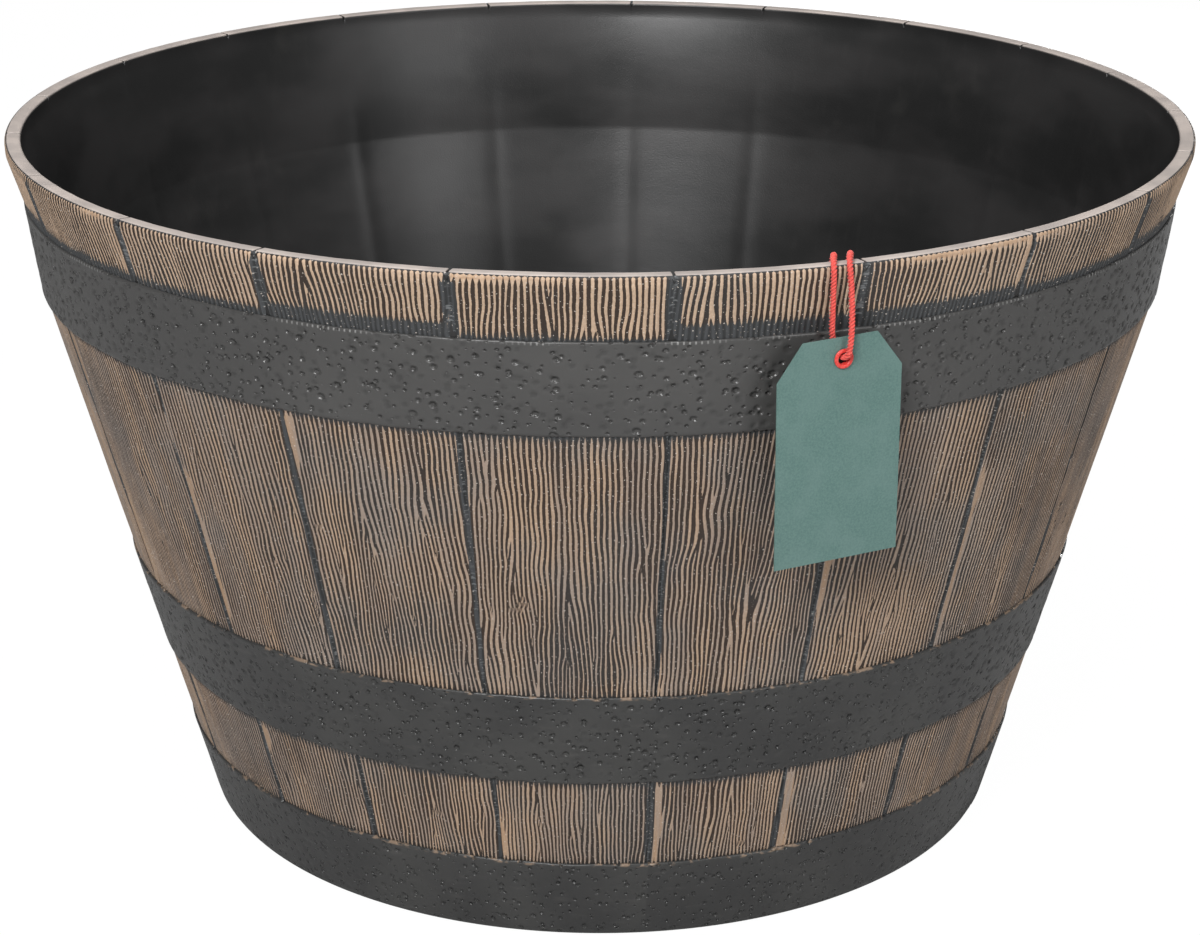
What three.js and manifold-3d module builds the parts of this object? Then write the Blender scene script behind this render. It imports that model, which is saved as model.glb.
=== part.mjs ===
// A barrel planter: a one-piece moulded resin tub that looks like a cut-down oak barrel, with
// push-in plugs in its drain holes and a card tag that hangs on a cord over the rim.
// Millimetres, +Z up. The origin is on the ground under the middle of the tub, and the front is -Y.

import * as THREE from "three";
import { mergeVertices } from "three/addons/utils/BufferGeometryUtils.js";
import Module from "manifold-3d";

// ---------------------------------------------------------------- driving dimensions

// Outside of the tub, from the rim down: a flared lip, a steeper band, then the long straight taper.
const POT_HEIGHT = 300;
const RIM_RADIUS = 250.4;
const LIP_HEIGHT = 27;
const LIP_DRAW_IN = 7.1;
const BAND_HEIGHT = 35;
const BAND_DRAW_IN = 4.6;
const BASE_RADIUS = 176;
const RIM_LAND = 4; // the upright edge at the top of the lip
const RIM_ROUNDING = 1.4;
const BASE_ROUNDING = 2.2;

// Wall, floor and what stands under the floor.
const WALL = 6.8;
const FLOOR_THICKNESS = 5;
const FLOOR_LIFT = 8;
const FLOOR_FILLET = 9;
const FOOT_RING_WIDTH = 9;
const CENTRE_FOOT_RADIUS = 20;
const RIB_COUNT = 8;
const RIB_THICKNESS = 3;
const RIB_DEPTH = 5;

// Staves: three widths in degrees, which the mould repeats round the tub. Azimuths run from -Y towards +X.
const STAVE_WIDTHS = [16.06, 17.2, 18.2];
const STAVE_REPEATS = 7;
const FIRST_JOINT_AZIMUTH = 5.9;
const JOINT_HALF_WIDTH = 0.5; // degrees, so the joints narrow downwards as the staves do
const JOINT_DEPTH = 1.8;
const RIM_NOTCH_DEPTH = 1.5;
const INNER_RIDGE = 0.5; // how far the inner wall stands in behind a joint, below the lip

// Hoops, raised in one piece with the staves.
const HOOP_RAISE = 1;
const HOOP_BEVEL = 1.3;
const TOP_HOOP_OVERLAP = 1.2; // how far the top hoop runs past the steeper band at each edge
const MIDDLE_HOOP_HEIGHT = 99.5;
const MIDDLE_HOOP_WIDTH = 42.2;
const BOTTOM_HOOP_WIDTH = 37.5;

// Drain holes and their plugs.
const DRAIN_COUNT = 4;
const DRAIN_CIRCLE_RADIUS = 110;
const DRAIN_RADIUS = 8;
const DRAIN_BOSS_WALL = 5;
const DRAIN_BOSS_DEPTH = 4;
const PLUG_CLEARANCE = 0.3;
const PLUG_FLANGE_OVERLAP = 4.5;
const PLUG_FLANGE_THICKNESS = 2.2;
const PLUG_NOSE_LENGTH = 1.6;
const PLUG_GRIP_RADIUS = 4;
const PLUG_GRIP_HEIGHT = 8;

// Hang tag. The card hangs from the middle of its eyelet.
const TAG_AZIMUTH = 19.6;
const CARD_WIDTH = 49.6;
const CARD_LENGTH = 86.4;
const CARD_THICKNESS = 0.6;
const CARD_CORNER = [10, 13.8];
const CARD_YAW = 3.6; // degrees about the upright, away from facing straight out
const CARD_PITCH = 3;
const CARD_ROLL = -2;
const EYELET_PLACE = [1.2, 252, 266.3]; // across, radius, height
const EYELET_FROM_TOP = 8;
const EYELET_OFF_CENTRE = 1.1;
const EYELET_RADIUS = 3.75;
const EYELET_HOLE_RADIUS = 2.2;
const EYELET_BARREL_WALL = 0.6;
const EYELET_FLANGE_THICKNESS = 0.7;
const EYELET_CLEARANCE = 0.3;

// Cord: chosen points, each across, radius and height, beside the plane through TAG_AZIMUTH.
const CORD_RADIUS = 1.2;
const CORD_SIDES = 8;
const CORD_LEFT = [
  [2.8, 231.6, 257.4],
  [1.9, 233.9, 265],
  [1.2, 235.2, 274],
  [0.9, 237.9, 285],
  [0.8, 240.7, 295],
  [0.5, 242.4, 300.2],
  [-0.5, 245.4, 302.3],
  [-1.9, 248.6, 302],
];
const CORD_LOOP = [
  [-3.3, 252, 299],
  [-3.1, 251.6, 291],
  [-2.8, 250.8, 283],
  [-2.2, 249.6, 275.5],
  [-0.8, 248.5, 270.2],
  [0.1, 249, 268.4],
  [0.8, 250.3, 267.2],
  [1.2, 252, 266.7],
  [1.5, 253.7, 267.2],
  [1.8, 255, 268.4],
  [2.1, 255.5, 270.4],
  [2.6, 255.3, 274.5],
  [3.1, 254.4, 282],
  [3.2, 253.1, 291],
  [2.9, 252, 299],
];
const CORD_RIGHT = [
  [4.4, 248.5, 302],
  [5.9, 245.3, 302.3],
  [6.9, 242.3, 300.2],
  [7.1, 240.6, 295],
  [6.8, 237.8, 285],
  [6.3, 235.1, 274],
  [5.8, 233.8, 265],
  [5.2, 231.5, 257.4],
];
const KNOT_PLACE = [4, 229.8, 252.6];
const KNOT_SIZE = [3.6, 3.2, 4.2]; // half its width, depth and height

// ---------------------------------------------------------------- colours and finishes

const finish = (color, roughness) => new THREE.MeshStandardMaterial({ color, roughness, metalness: 0 });
const RESIN = finish(0x6f5c4c, 0.6);
const RUBBER = finish(0x161616, 0.8);
const CARD = finish(0x57706a, 0.75);
const RED_PLASTIC = finish(0xe0483f, 0.35);
const RED_CORD = finish(0xe23b3f, 0.85);

// ---------------------------------------------------------------- shared helpers

const wasm = await Module();
wasm.setup();

const radians = THREE.MathUtils.degToRad;
const SMALL_ROUND_SIDES = 24;

// A closed geometry as a solid that can be joined and cut.
function solid(geometry) {
  const bare = geometry.clone();
  bare.deleteAttribute("normal");
  bare.deleteAttribute("uv");
  const merged = mergeVertices(bare, 1e-4);
  const corners = merged.index.array;
  const triVerts = [];
  for (let i = 0; i < corners.length; i += 3) {
    const [a, b, c] = [corners[i], corners[i + 1], corners[i + 2]];
    if (a !== b && b !== c && c !== a) triVerts.push(a, b, c);
  }
  const vertProperties = merged.attributes.position.array;
  return new wasm.Manifold(new wasm.Mesh({ numProp: 3, vertProperties, triVerts: new Uint32Array(triVerts) }));
}

// A solid back as a geometry with flat faces.
function geometryOf(body) {
  const { numProp, vertProperties, triVerts } = body.getMesh();
  const indexed = new THREE.BufferGeometry();
  indexed.setAttribute("position", new THREE.BufferAttribute(vertProperties, numProp));
  indexed.setIndex(new THREE.BufferAttribute(triVerts, 1));
  const flat = indexed.toNonIndexed();
  flat.computeVertexNormals();
  return flat;
}

function named(name, geometry, material) {
  const mesh = new THREE.Mesh(geometry, material);
  mesh.name = name;
  return mesh;
}

// A profile of [radius, height] pairs turned about +Z.
function turned(profile, sides) {
  const points = profile.map(([radius, height]) => new THREE.Vector2(radius, height));
  return new THREE.LatheGeometry(points, sides).rotateX(Math.PI / 2);
}

// A point given by azimuth in degrees, radius and height.
function polar(azimuth, radius, height) {
  const angle = radians(azimuth);
  return new THREE.Vector3(radius * Math.sin(angle), -radius * Math.cos(angle), height);
}

// ---------------------------------------------------------------- the tub

const LIP_FOOT = POT_HEIGHT - LIP_HEIGHT;
const BAND_FOOT = LIP_FOOT - BAND_HEIGHT;

// Radius of the staves' outer face at a height, without hoops or joints.
function staveRadius(height) {
  const stations = [
    [0, BASE_RADIUS],
    [BAND_FOOT, RIM_RADIUS - LIP_DRAW_IN - BAND_DRAW_IN],
    [LIP_FOOT, RIM_RADIUS - LIP_DRAW_IN],
    [POT_HEIGHT - RIM_LAND, RIM_RADIUS],
    [POT_HEIGHT, RIM_RADIUS],
  ];
  const upper = Math.max(1, stations.findIndex(([top]) => top >= height));
  const [[z0, r0], [z1, r1]] = [stations[upper - 1], stations[upper]];
  return THREE.MathUtils.mapLinear(height, z0, z1, r0, r1);
}

// A station of the tub's profile. joint and notch say how far the stave joints are pressed in and down there.
const station = (radius, height, joint = 0, notch = 0) => ({ radius, height, joint, notch });
const onStaves = (height) => station(staveRadius(height), height, JOINT_DEPTH);
const onHoop = (height) => station(staveRadius(height) + HOOP_RAISE, height);
const onInside = (height, ridge = 0) => station(staveRadius(height) - WALL, height, ridge);

// A hoop from its lower to its upper edge: a bevel, the raised face, and a bevel.
const hoop = (foot, top) => [onStaves(foot), onHoop(foot + HOOP_BEVEL), onHoop(top - HOOP_BEVEL), onStaves(top)];

// The tub's section from the middle of the underside, out, up, over the rim and down to the middle of the floor.
function tubProfile() {
  const floorTop = FLOOR_LIFT + FLOOR_THICKNESS;
  const footRadius = staveRadius(0) + HOOP_RAISE - BASE_ROUNDING;
  const ringRadius = footRadius - FOOT_RING_WIDTH;
  const innerFoot = staveRadius(floorTop + FLOOR_FILLET) - WALL;
  const fillet = [30, 60, 90].map((degrees) => {
    const angle = radians(degrees);
    const inwards = FLOOR_FILLET * (1 - Math.cos(angle));
    return station(innerFoot - inwards, floorTop + FLOOR_FILLET * (1 - Math.sin(angle)));
  });
  const middleFoot = MIDDLE_HOOP_HEIGHT - MIDDLE_HOOP_WIDTH / 2;
  const rimInside = RIM_RADIUS - WALL;
  return [
    station(0, 0),
    station(CENTRE_FOOT_RADIUS, 0),
    station(CENTRE_FOOT_RADIUS, FLOOR_LIFT),
    station(ringRadius, FLOOR_LIFT),
    station(ringRadius, 0),
    station(footRadius, 0),
    onHoop(BASE_ROUNDING),
    onHoop(BOTTOM_HOOP_WIDTH - HOOP_BEVEL),
    onStaves(BOTTOM_HOOP_WIDTH),
    ...hoop(middleFoot, middleFoot + MIDDLE_HOOP_WIDTH),
    ...hoop(BAND_FOOT - TOP_HOOP_OVERLAP, LIP_FOOT + TOP_HOOP_OVERLAP),
    onStaves(POT_HEIGHT - RIM_LAND),
    station(RIM_RADIUS, POT_HEIGHT - RIM_ROUNDING, JOINT_DEPTH, RIM_NOTCH_DEPTH),
    station(RIM_RADIUS - RIM_ROUNDING, POT_HEIGHT, JOINT_DEPTH, RIM_NOTCH_DEPTH),
    station(rimInside + RIM_ROUNDING, POT_HEIGHT, 0, RIM_NOTCH_DEPTH),
    station(rimInside, POT_HEIGHT - RIM_ROUNDING),
    onInside(POT_HEIGHT - RIM_LAND),
    onInside(LIP_FOOT),
    onInside(BAND_FOOT, INNER_RIDGE),
    onInside(floorTop + FLOOR_FILLET, INNER_RIDGE),
    ...fillet,
    station(0, floorTop),
  ];
}

// Azimuths of the columns of the tub's mesh. Each stave starts at the bottom of its joint, then has the joint's
// edge, its face and the next joint's edge.
const COLUMNS_PER_STAVE = 6;
function columnAzimuths() {
  const patternTotal = STAVE_REPEATS * STAVE_WIDTHS.reduce((sum, width) => sum + width, 0);
  const azimuths = [];
  let joint = FIRST_JOINT_AZIMUTH;
  for (let repeat = 0; repeat < STAVE_REPEATS; repeat++) {
    for (const width of STAVE_WIDTHS) {
      const staveWidth = (width * 360) / patternTotal;
      const faceWidth = staveWidth - 2 * JOINT_HALF_WIDTH;
      azimuths.push(joint);
      for (let i = 0; i < COLUMNS_PER_STAVE - 1; i++) {
        azimuths.push(joint + JOINT_HALF_WIDTH + (faceWidth * i) / (COLUMNS_PER_STAVE - 2));
      }
      joint += staveWidth;
    }
  }
  return [...azimuths, azimuths[0] + 360];
}

// The profile turned into a tub, with the stave joints pressed into it column by column.
function stavedTub() {
  const profile = tubProfile();
  const azimuths = columnAzimuths();
  const tub = turned(
    profile.map(({ radius, height }) => [radius, height]),
    azimuths.length - 1,
  );
  const places = tub.attributes.position;
  for (let i = 0; i < places.count; i++) {
    const column = Math.floor(i / profile.length);
    const { radius, height, joint, notch } = profile[i % profile.length];
    const pressed = column % COLUMNS_PER_STAVE === 0 ? 1 : 0;
    const place = polar(azimuths[column], radius - joint * pressed, height - notch * pressed);
    places.setXYZ(i, place.x, place.y, place.z);
  }
  return solid(tub);
}

// Azimuth of each drain hole, with the underside's ribs between them.
const drainAzimuth = (index) => ((index + 0.5) * 360) / DRAIN_COUNT;
const ribAzimuth = (index) => ((index + 0.5) * 360) / RIB_COUNT;

// A cylinder on a drain hole's axis.
function drainCylinder(index, radius, foot, top) {
  const place = polar(drainAzimuth(index), DRAIN_CIRCLE_RADIUS, (foot + top) / 2);
  const cylinder = new THREE.CylinderGeometry(radius, radius, top - foot, SMALL_ROUND_SIDES);
  return solid(cylinder.rotateX(Math.PI / 2).translate(place.x, place.y, place.z));
}

// A radial rib under the floor, from inside the centre foot to inside the foot ring.
function underRib(index) {
  const sunk = FLOOR_THICKNESS / 2;
  const inner = CENTRE_FOOT_RADIUS / 2;
  const outer = staveRadius(0) - FOOT_RING_WIDTH;
  const rib = new THREE.BoxGeometry(RIB_THICKNESS, outer - inner, RIB_DEPTH + sunk);
  rib.translate(0, -(inner + outer) / 2, FLOOR_LIFT - RIB_DEPTH + (RIB_DEPTH + sunk) / 2);
  return solid(rib.rotateZ(radians(ribAzimuth(index))));
}

function potShell() {
  let tub = stavedTub();
  const floorMiddle = FLOOR_LIFT + FLOOR_THICKNESS / 2;
  for (let i = 0; i < RIB_COUNT; i++) tub = tub.add(underRib(i));
  for (let i = 0; i < DRAIN_COUNT; i++) {
    const boss = drainCylinder(i, DRAIN_RADIUS + DRAIN_BOSS_WALL, FLOOR_LIFT - DRAIN_BOSS_DEPTH, floorMiddle);
    const hole = drainCylinder(i, DRAIN_RADIUS, 0, FLOOR_LIFT + 2 * FLOOR_THICKNESS);
    tub = tub.add(boss).subtract(hole);
  }
  return named("pot_shell", geometryOf(tub), RESIN);
}

// A rubber plug: a flange that lies on the floor, a stem through the hole and a grip to pull it by.
function drainPlug(index) {
  const flangeFoot = PLUG_CLEARANCE;
  const flangeTop = flangeFoot + PLUG_FLANGE_THICKNESS;
  const gripTop = flangeTop + PLUG_GRIP_HEIGHT;
  const stemRadius = DRAIN_RADIUS - PLUG_CLEARANCE;
  const stemFoot = -FLOOR_THICKNESS - DRAIN_BOSS_DEPTH;
  const flangeRadius = DRAIN_RADIUS + PLUG_FLANGE_OVERLAP;
  const edge = PLUG_FLANGE_THICKNESS / 3;
  const profile = [
    [0, stemFoot - PLUG_NOSE_LENGTH],
    [stemRadius - PLUG_NOSE_LENGTH, stemFoot - PLUG_NOSE_LENGTH],
    [stemRadius, stemFoot],
    [stemRadius, flangeFoot],
    [flangeRadius - edge, flangeFoot],
    [flangeRadius, flangeFoot + edge],
    [flangeRadius - edge, flangeTop],
    [PLUG_GRIP_RADIUS, flangeTop],
    [PLUG_GRIP_RADIUS - edge, flangeTop + PLUG_GRIP_HEIGHT / 2],
    [PLUG_GRIP_RADIUS, gripTop - edge],
    [PLUG_GRIP_RADIUS - edge, gripTop],
    [0, gripTop],
  ];
  const plug = named(`drain_plug_${index + 1}`, turned(profile, SMALL_ROUND_SIDES), RUBBER);
  plug.position.copy(polar(drainAzimuth(index), DRAIN_CIRCLE_RADIUS, FLOOR_LIFT + FLOOR_THICKNESS));
  return plug;
}

// ---------------------------------------------------------------- the hang tag

// The card: an upright outline with two cut corners, drawn about the middle of the eyelet.
function tagCard() {
  const left = -CARD_WIDTH / 2 - EYELET_OFF_CENTRE;
  const right = left + CARD_WIDTH;
  const top = EYELET_FROM_TOP;
  const foot = top - CARD_LENGTH;
  const [cornerAcross, cornerDown] = CARD_CORNER;
  const outline = new THREE.Shape()
    .moveTo(left, foot)
    .lineTo(right, foot)
    .lineTo(right, top - cornerDown)
    .lineTo(right - cornerAcross, top)
    .lineTo(left + cornerAcross, top)
    .lineTo(left, top - cornerDown)
    .closePath();
  const holeRadius = EYELET_HOLE_RADIUS + EYELET_BARREL_WALL + EYELET_CLEARANCE;
  outline.holes.push(new THREE.Path().absarc(0, 0, holeRadius, 0, 2 * Math.PI, true));
  const sheet = { depth: CARD_THICKNESS, bevelEnabled: false, curveSegments: SMALL_ROUND_SIDES / 2 };
  const card = new THREE.ExtrudeGeometry(outline, sheet).translate(0, 0, -CARD_THICKNESS / 2);
  return named("tag_card", card.rotateX(Math.PI / 2), CARD);
}

// The eyelet: a barrel through the card with a round flange on each face.
function tagEyelet() {
  const inside = CARD_THICKNESS / 2 + EYELET_CLEARANCE;
  const outside = inside + EYELET_FLANGE_THICKNESS;
  const barrelRadius = EYELET_HOLE_RADIUS + EYELET_BARREL_WALL;
  const edge = EYELET_FLANGE_THICKNESS / 3;
  const profile = [
    [EYELET_HOLE_RADIUS, -outside + edge],
    [EYELET_HOLE_RADIUS + edge, -outside],
    [EYELET_RADIUS - edge, -outside],
    [EYELET_RADIUS, -outside + edge],
    [EYELET_RADIUS, -inside],
    [barrelRadius, -inside],
    [barrelRadius, inside],
    [EYELET_RADIUS, inside],
    [EYELET_RADIUS, outside - edge],
    [EYELET_RADIUS - edge, outside],
    [EYELET_HOLE_RADIUS + edge, outside],
    [EYELET_HOLE_RADIUS, outside - edge],
    [EYELET_HOLE_RADIUS, -outside + edge],
  ];
  const ring = turned(profile, SMALL_ROUND_SIDES).rotateX(Math.PI / 2);
  return named("tag_eyelet", ring, RED_PLASTIC);
}

// Across, radius and height beside the tag's plane, as a point whose outward direction is -Y.
const beside = ([across, radius, height]) => new THREE.Vector3(across, -radius, height);

// A cord along chosen points.
function cord(name, points) {
  const route = new THREE.CatmullRomCurve3(points.map(beside));
  const corners = Array.from({ length: CORD_SIDES }, (_, i) => {
    const angle = ((i + 0.5) * 2 * Math.PI) / CORD_SIDES;
    return new THREE.Vector2(CORD_RADIUS * Math.cos(angle), CORD_RADIUS * Math.sin(angle));
  });
  const steps = Math.ceil(route.getLength() / (2 * CORD_RADIUS));
  const tube = new THREE.ExtrudeGeometry(new THREE.Shape(corners), { steps, extrudePath: route });
  return named(name, tube, RED_CORD);
}

function cordKnot() {
  const knot = new THREE.SphereGeometry(1, 12, 8).rotateX(Math.PI / 2).scale(...KNOT_SIZE);
  const mesh = named("tag_cord_knot", knot, RED_CORD);
  mesh.position.copy(beside(KNOT_PLACE));
  return mesh;
}

function hangTag() {
  const card = new THREE.Group();
  card.add(tagCard(), tagEyelet());
  card.position.copy(beside(EYELET_PLACE));
  card.rotation.set(radians(CARD_PITCH), radians(CARD_ROLL), radians(CARD_YAW), "ZXY");
  const tag = new THREE.Group();
  tag.add(card, cord("tag_cord_loop", CORD_LOOP), cordKnot());
  tag.add(cord("tag_cord_left", CORD_LEFT), cord("tag_cord_right", CORD_RIGHT));
  tag.rotation.z = radians(TAG_AZIMUTH);
  return tag;
}

// ---------------------------------------------------------------- assembly

const planter = new THREE.Group();
planter.add(potShell());
for (let i = 0; i < DRAIN_COUNT; i++) planter.add(drainPlug(i));
planter.add(hangTag());

export default planter;
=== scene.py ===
# %% [markdown]
# # A barrel planter with a hang tag
#
# The planter is one tub of moulded resin that imitates a cut-down oak barrel: staves with a deep
# grain, joints between them and three hammered hoops, all in one skin. A tan paint is brushed over
# the ridges of the grain, and the grooves keep the charcoal resin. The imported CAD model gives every
# place and size, and this script dresses it. Lengths are in metres, and `MM` turns millimetres into
# them. Azimuths are in degrees from the front, -Y, towards +X.

import math

import bpy
import numpy as np
from mathutils import Matrix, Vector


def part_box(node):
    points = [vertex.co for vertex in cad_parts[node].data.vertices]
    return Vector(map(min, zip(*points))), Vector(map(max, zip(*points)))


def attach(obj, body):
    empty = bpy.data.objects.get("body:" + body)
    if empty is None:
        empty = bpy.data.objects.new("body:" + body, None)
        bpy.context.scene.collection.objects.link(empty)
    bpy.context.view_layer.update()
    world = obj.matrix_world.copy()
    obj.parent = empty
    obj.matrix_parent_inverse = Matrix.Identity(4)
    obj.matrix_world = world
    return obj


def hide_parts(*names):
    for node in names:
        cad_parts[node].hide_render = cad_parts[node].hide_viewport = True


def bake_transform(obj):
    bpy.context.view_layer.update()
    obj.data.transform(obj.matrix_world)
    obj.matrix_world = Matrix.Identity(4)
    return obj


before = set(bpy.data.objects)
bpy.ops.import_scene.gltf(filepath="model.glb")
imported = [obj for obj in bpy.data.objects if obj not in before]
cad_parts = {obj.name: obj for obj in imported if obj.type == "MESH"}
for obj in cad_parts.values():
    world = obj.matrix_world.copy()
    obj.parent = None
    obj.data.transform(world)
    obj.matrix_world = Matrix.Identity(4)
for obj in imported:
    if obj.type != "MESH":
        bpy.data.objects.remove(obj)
bpy.context.view_layer.update()
print("CAD nodes:", sorted(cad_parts))

MM = 0.001


# %% [markdown]
# ## The camera
#
# The photograph was taken from a little over a metre, looking 20 degrees down into the tub. The
# place and the lens were worked out from the rim's ellipse, the hoops' edges and the outline.

# %% Place the camera
def new_object(name, data):
    """A new object with this data, linked to the scene."""
    made = bpy.data.objects.new(name, data)
    bpy.context.scene.collection.objects.link(made)
    return made


camera = new_object("photo_camera", bpy.data.cameras.new("photo_camera"))
camera.location = (0, -1.1673, 0.5707)
camera.rotation_euler = (math.radians(90 - 20.38), 0, 0)
camera.data.lens = 83.2
camera.data.sensor_width = 36
bpy.context.scene.camera = camera
print("camera at", tuple(camera.location), "lens", camera.data.lens)


# %% [markdown]
# ## The cord of the hang tag
#
# It is a limp cord, 2.4 mm thick, laid up from three plies. It is folded through the eyelet, and
# both strands go up over the rim and down inside, to a knot. A curve with a round bevel would be a
# smooth hose, so the plies are modelled: one closed tube whose section has three lobes that turn
# as it runs along the route. The route's points are the same as those of the CAD solids.

# %% The route
TAG_AZIMUTH = 19.6
CORD_DIAMETER = 2.4 * MM
CORD_POINTS = [
    (2.8, 231.6, 257.4), (1.9, 233.9, 265), (1.2, 235.2, 274), (0.9, 237.9, 285), (0.8, 240.7, 295),
    (0.5, 242.4, 300.2), (-0.5, 245.4, 302.3), (-1.9, 248.6, 302), (-3.3, 252, 299), (-3.1, 251.6, 291),
    (-2.8, 250.8, 283), (-2.2, 249.6, 275.5), (-0.8, 248.5, 270.2), (0.1, 249, 268.4), (0.8, 250.3, 267.2),
    (1.2, 252, 266.7), (1.5, 253.7, 267.2), (1.8, 255, 268.4), (2.1, 255.5, 270.4), (2.6, 255.3, 274.5),
    (3.1, 254.4, 282), (3.2, 253.1, 291), (2.9, 252, 299), (4.4, 248.5, 302), (5.9, 245.3, 302.3),
    (6.9, 242.3, 300.2), (7.1, 240.6, 295), (6.8, 237.8, 285), (6.3, 235.1, 274), (5.8, 233.8, 265),
    (5.2, 231.5, 257.4),
]


def beside_tag(across, radius, height):
    """A point given across, out and up beside the tag's plane, in millimetres, as a place in metres."""
    turn = math.radians(TAG_AZIMUTH)
    right = np.array([math.cos(turn), math.sin(turn), 0])
    out = np.array([math.sin(turn), -math.cos(turn), 0])
    return (across * right + radius * out + np.array([0, 0, height])) * MM


def smooth_route(points, step):
    """A Catmull-Rom curve through the points, resampled at an even step."""
    points = np.array(points, float)
    ends = np.vstack([2 * points[0] - points[1], points, 2 * points[-1] - points[-2]])
    t = np.linspace(0, 1, 24, endpoint=False)[:, None]
    pieces = []
    for a, b, c, d in zip(ends, ends[1:], ends[2:], ends[3:]):
        curve = 2 * b + (c - a) * t + (2 * a - 5 * b + 4 * c - d) * t**2 + (3 * b - a - 3 * c + d) * t**3
        pieces.append(curve / 2)
    fine = np.vstack(pieces + [points[-1:]])
    run = np.concatenate([[0], np.cumsum(np.linalg.norm(np.diff(fine, axis=0), axis=1))])
    stations = np.linspace(0, run[-1], max(2, round(run[-1] / step)) + 1)
    return np.stack([np.interp(stations, run, fine[:, k]) for k in range(3)], axis=1), run[-1]


cord_route, cord_length = smooth_route([beside_tag(*point) for point in CORD_POINTS], 0.35 * MM)
print(f"cord length {cord_length / MM:.1f} mm in {len(cord_route)} stations")

# %% A tube whose section has lobes
def laid_cord(name, route, diameter, plies=3, lay_length=4.0 * MM, sides_per_ply=7, taper=0.0):
    """A closed tube of twisted plies along the route. taper thins both ends over that length."""
    tangents = np.gradient(route, axis=0)
    tangents /= np.linalg.norm(tangents, axis=1)[:, None]
    across = np.cross(tangents[0], [0.3, 1, 0.2])
    ply_radius = diameter / 2 / (1 + 1 / math.sin(math.pi / plies))
    ply_place = diameter / 2 - ply_radius
    sides = plies * sides_per_ply
    around = np.arange(sides) * 2 * math.pi / sides
    from_lobe = (around + math.pi / plies) % (2 * math.pi / plies) - math.pi / plies
    under_root = np.maximum(ply_radius**2 - (ply_place * np.sin(from_lobe)) ** 2, 0)
    section = ply_place * np.cos(from_lobe) + np.sqrt(under_root)
    run = np.concatenate([[0], np.cumsum(np.linalg.norm(np.diff(route, axis=0), axis=1))])
    places = []
    for place, tangent, distance in zip(route, tangents, run):
        across = across - tangent * np.dot(across, tangent)
        across /= np.linalg.norm(across)
        other = np.cross(tangent, across)
        angle = around + 2 * math.pi * distance / lay_length
        left = min(distance, run[-1] - distance)
        size = math.sqrt(min(1, 0.05 + left / taper)) if taper else 1
        ring = section[:, None] * size * (np.cos(angle)[:, None] * across + np.sin(angle)[:, None] * other)
        places.extend(place + ring)
    faces, corners = [], []
    for i in range(len(route) - 1):
        for k in range(sides):
            n = (k + 1) % sides
            faces.append((i * sides + k, i * sides + n, (i + 1) * sides + n, (i + 1) * sides + k))
            a, b = run[i] / MM, run[i + 1] / MM
            corners += [(k / sides, a), ((k + 1) / sides, a), ((k + 1) / sides, b), (k / sides, b)]
    faces.append(tuple(reversed(range(sides))))
    faces.append(tuple(range((len(route) - 1) * sides, len(route) * sides)))
    corners += [(0, 0)] * (2 * sides)
    mesh = bpy.data.meshes.new(name)
    mesh.from_pydata([tuple(place) for place in places], [], faces)
    mesh.update()
    mesh.shade_smooth()
    mesh.uv_layers.new(name="plies").data.foreach_set("uv", np.array(corners, np.float32).ravel())
    return new_object(name, mesh)


tag_cord = laid_cord("tag_cord", cord_route, CORD_DIAMETER)
print("cord faces:", len(tag_cord.data.polygons))

# %% The knot inside the rim
KNOT_PLACE = (4, 229.8, 252.6)


def overhand(count=64, tails=7):
    """The points of a small overhand knot with two tails hanging from it, beside the tag's plane."""
    turn = np.linspace(-0.62 * math.pi, 0.62 * math.pi, count) * 2
    across = 1.15 * (np.sin(turn) + 1.1 * np.sin(2 * turn / 1.24)) * 0.9
    knot = np.stack([across, np.cos(1.5 * turn), 2.7 * np.cos(turn) + 1.4], axis=1)
    left, right = np.array([-1.3, -0.4, -4.4]), np.array([1.3, 0.4, -4.4])
    share = np.linspace(1, 0.15, tails)[:, None]
    return np.vstack([knot[0] + left * share**2, knot, knot[-1] + right * share[::-1]])


knot_points = [beside_tag(*(np.array(KNOT_PLACE) + offset)) for offset in overhand()]
knot_route, knot_run = smooth_route(knot_points, 0.35 * MM)
cord_knot = laid_cord("cord_knot", knot_route, CORD_DIAMETER * 0.95, taper=1.2 * MM)
print(f"knot: {knot_run / MM:.1f} mm of cord")

# %% Bake the cord's place, hide the CAD's cord and hang the knot on the planter
def around_tub(azimuth, radius, height):
    """A point by azimuth in degrees, and radius and height in millimetres, as a place in metres."""
    turn = math.radians(azimuth)
    return np.array([radius * math.sin(turn), -radius * math.cos(turn), height]) * MM


around_tub(TAG_AZIMUTH, 250.2, 300.77)
around_tub(TAG_AZIMUTH, 253.54, 299.43)
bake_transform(tag_cord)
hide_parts("tag_cord_left", "tag_cord_loop", "tag_cord_right")
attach(cord_knot, "planter")
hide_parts("tag_cord_knot")


# %% [markdown]
# ## Drawing with operators
#
# Most pieces here are round about an upright axis. By hand one would draw half of the section and
# spin it. The same operators do it in code: a plane is merged to one point, extruded from point to
# point along the section, and turned by a Screw modifier, because the Spin operator takes minutes
# over thousands of columns. A closed section gives a closed solid, which keeps every piece whole.

# %% Spin a section
def nothing_selected():
    """Leaves edit mode and deselects everything, because an operator acts on all that is selected."""
    if bpy.context.object is not None and bpy.context.object.mode != "OBJECT":
        bpy.ops.object.mode_set(mode="OBJECT")
    bpy.ops.object.select_all(action="DESELECT")


def only_selected(piece):
    """Selects this piece alone, in object mode."""
    nothing_selected()
    piece.select_set(True)
    bpy.context.view_layer.objects.active = piece


def applied(piece, kind, **settings):
    """Adds a modifier to a piece, with these settings, and applies it."""
    only_selected(piece)
    modifier = piece.modifiers.new(kind.title(), kind)
    for key, value in settings.items():
        setattr(modifier, key, value)
    bpy.ops.object.modifier_apply(modifier=modifier.name)


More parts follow.
